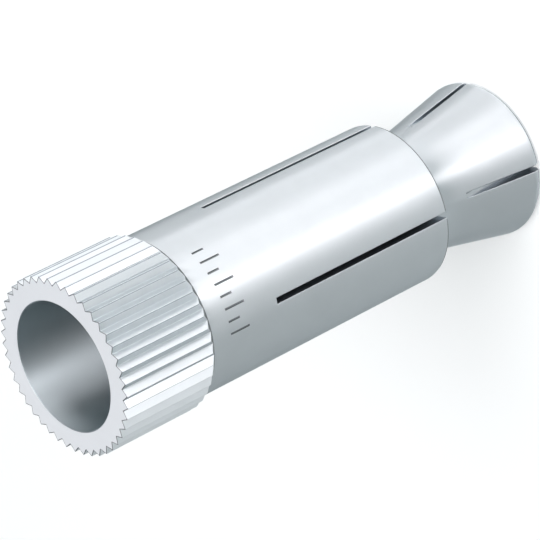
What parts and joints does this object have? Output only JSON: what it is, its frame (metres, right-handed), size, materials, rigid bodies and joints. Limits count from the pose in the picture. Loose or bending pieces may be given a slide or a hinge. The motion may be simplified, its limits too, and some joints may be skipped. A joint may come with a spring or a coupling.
{
  "type": "hollow-core slab anchor",
  "caption": "Steel drop-in anchor for hollow slabs: a slotted expansion sleeve with a serrated head, and a threaded cone nut gripped in its mouth.",
  "frame": {"origin": "centre of the cone nut's flat end, the face that the anchor stands on", "axes": "+Z along the anchor's axis from the cone nut to the serrated head; +X and +Y through two neighbouring slots"},
  "size_m": [0.0166, 0.0166, 0.052],
  "materials": {
    "sleeve_steel": "satin zinc plating",
    "cone_steel": "satin zinc plating"
  },
  "bodies": {
    "root": {"expansion_sleeve": "sleeve_steel", "cone_nut": "cone_steel"}
  },
  "joints": []
}
